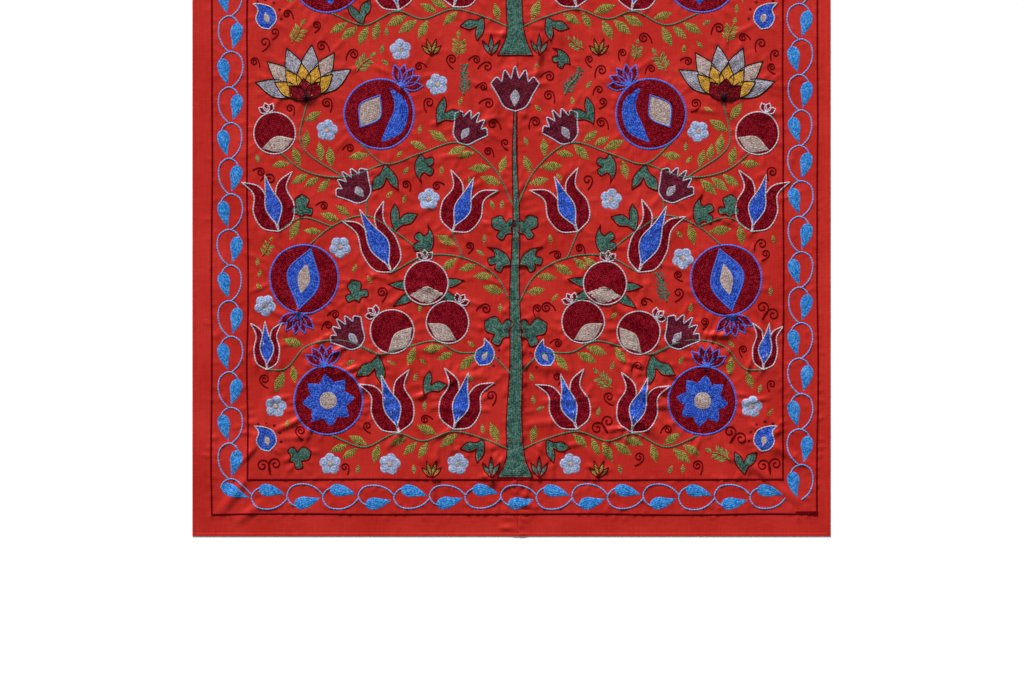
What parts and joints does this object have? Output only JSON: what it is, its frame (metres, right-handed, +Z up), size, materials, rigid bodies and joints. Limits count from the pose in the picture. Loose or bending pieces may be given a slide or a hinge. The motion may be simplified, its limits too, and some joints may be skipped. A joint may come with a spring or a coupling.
{
  "type": "suzani embroidered textile",
  "caption": "Suzani hanging laid out flat: red ground of two loom widths joined by a centre seam, dense couched and chain-stitched garden motifs, vine border and plain hem margin.",
  "frame": {"origin": "on the surface that the cloth lies on, midway between its side edges and midway between its two ends", "axes": "+Z up out of the embroidered face, +Y along the length towards the top end, +X across the width to the right as the face is looked at"},
  "size_m": [1.22, 1.83, 0.0061],
  "materials": {
    "ground": "scarlet silk and cotton plain weave with a soft sheen",
    "thread": "couched and chain-stitched silk thread in crimson, cobalt, green, olive, plum, cream and black"
  },
  "bodies": {
    "root": {"ground_left": "ground", "ground_right": "ground"}
  },
  "joints": []
}
